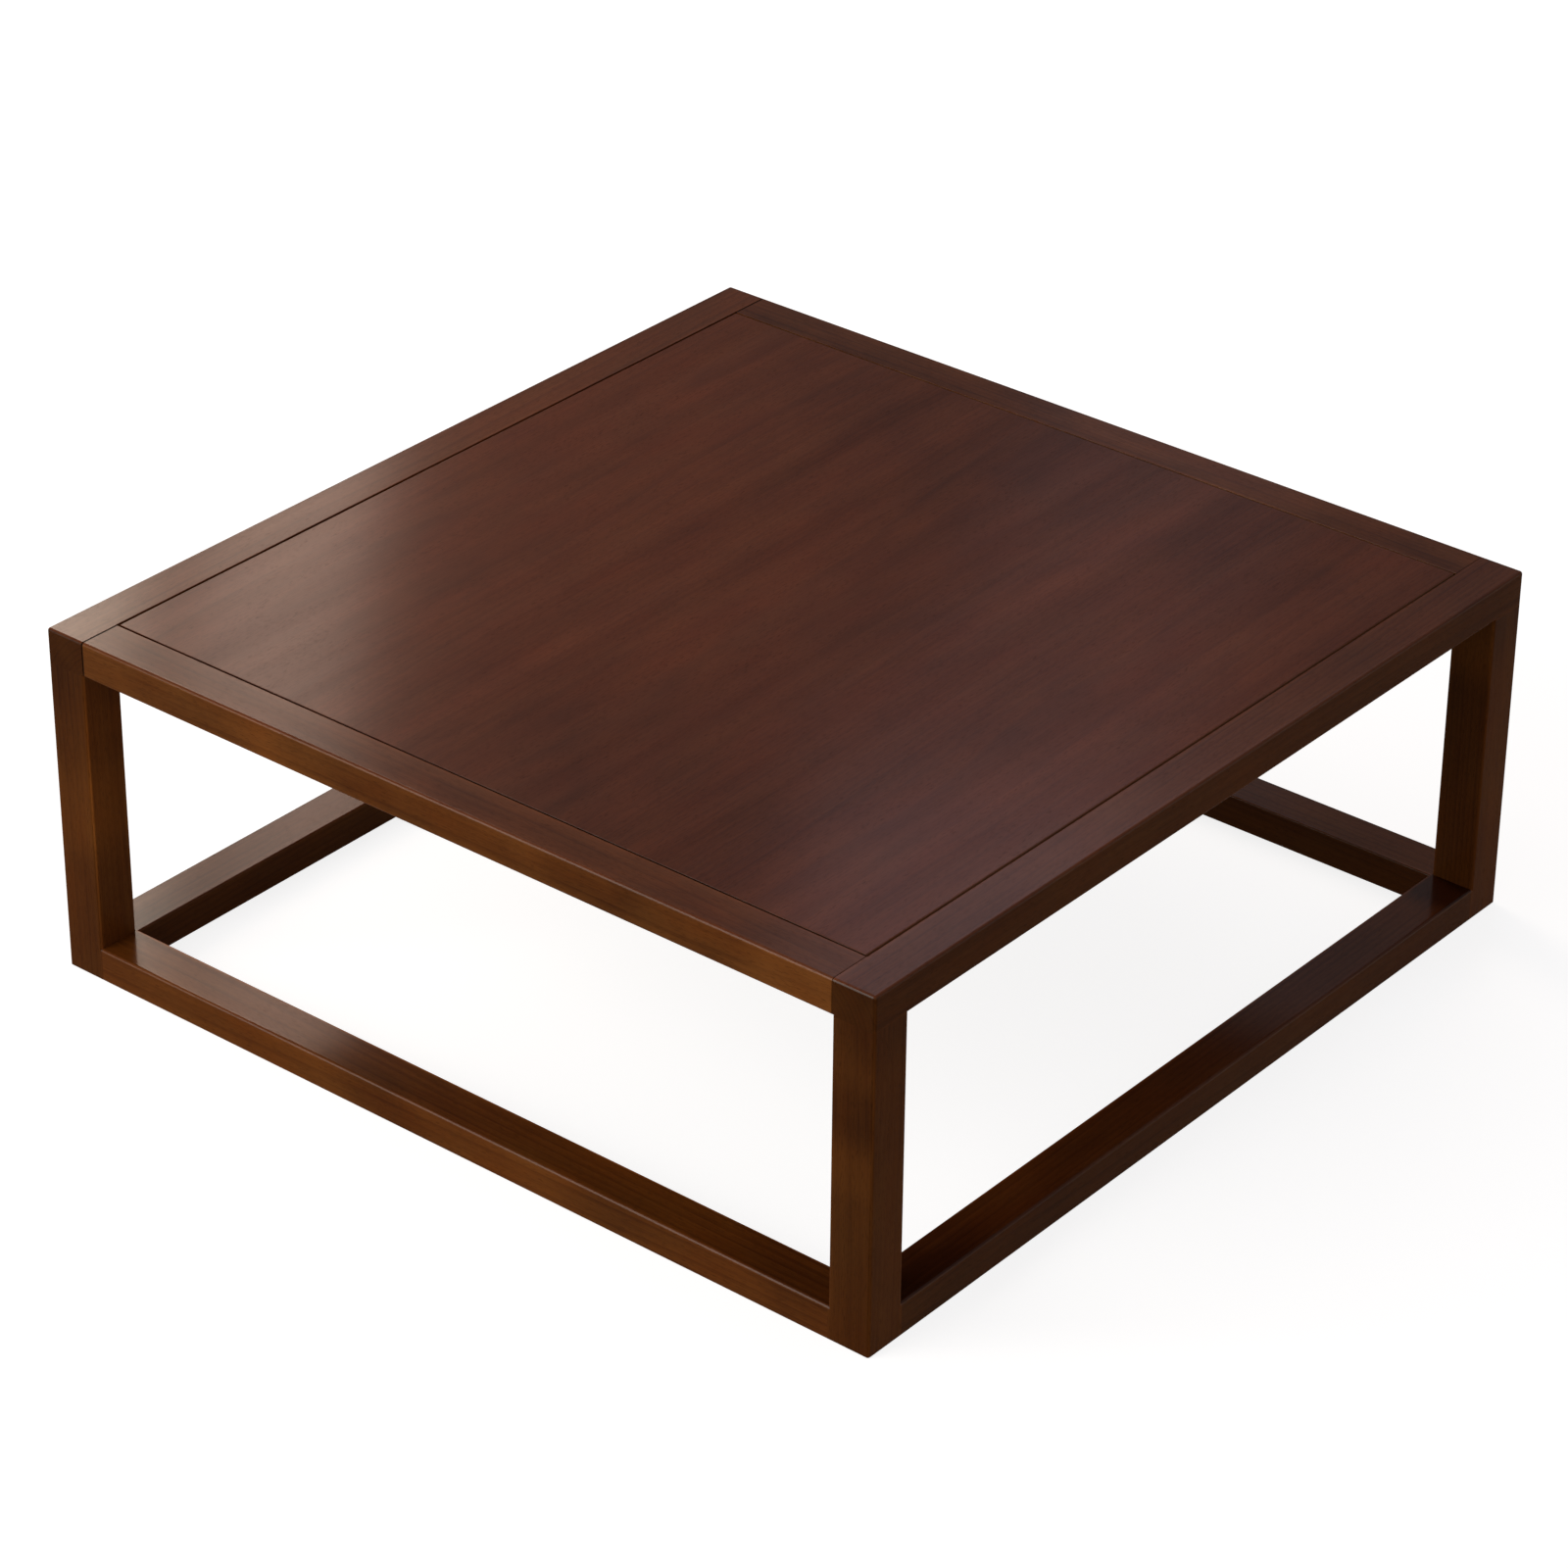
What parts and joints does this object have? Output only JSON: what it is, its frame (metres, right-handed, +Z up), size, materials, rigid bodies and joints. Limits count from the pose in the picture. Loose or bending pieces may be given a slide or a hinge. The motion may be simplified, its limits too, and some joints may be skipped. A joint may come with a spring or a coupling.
{
  "type": "low table",
  "caption": "Square low table for sitting on the floor: an open frame of slim square legs and floor-level rails under a framed, flush panelled top in dark stained wood.",
  "frame": {"origin": "on the floor, under the middle of the table top", "axes": "+Z up; +X to the right and -Y to the front; the two stiles of the top and its boards run along Y"},
  "size_m": [0.8, 0.8, 0.3],
  "materials": {
    "leg_wood": "satin lacquer over dark walnut stain",
    "top_frame_wood": "satin lacquer over dark walnut stain",
    "low_rail_wood": "satin lacquer over dark walnut stain",
    "panel_wood": "satin lacquer over dark walnut stain, hand rubbed",
    "batten_wood": "thin matt lacquer over dark walnut stain",
    "spline_wood": "bare planed wood"
  },
  "bodies": {
    "root": {"front_left_leg": "leg_wood", "front_right_leg": "leg_wood", "back_left_leg": "leg_wood", "back_right_leg": "leg_wood", "left_stile": "top_frame_wood", "right_stile": "top_frame_wood", "front_top_rail": "top_frame_wood", "back_top_rail": "top_frame_wood", "front_low_rail": "low_rail_wood", "back_low_rail": "low_rail_wood", "left_low_rail": "low_rail_wood", "right_low_rail": "low_rail_wood", "top_board_1": "panel_wood", "top_board_2": "panel_wood", "top_board_3": "panel_wood", "top_board_4": "panel_wood", "top_board_5": "panel_wood", "top_board_6": "panel_wood", "batten_1": "batten_wood", "batten_2": "batten_wood", "batten_3": "batten_wood", "board_spline_1": "spline_wood", "board_spline_2": "spline_wood", "board_spline_3": "spline_wood", "board_spline_4": "spline_wood", "board_spline_5": "spline_wood"}
  },
  "joints": []
}
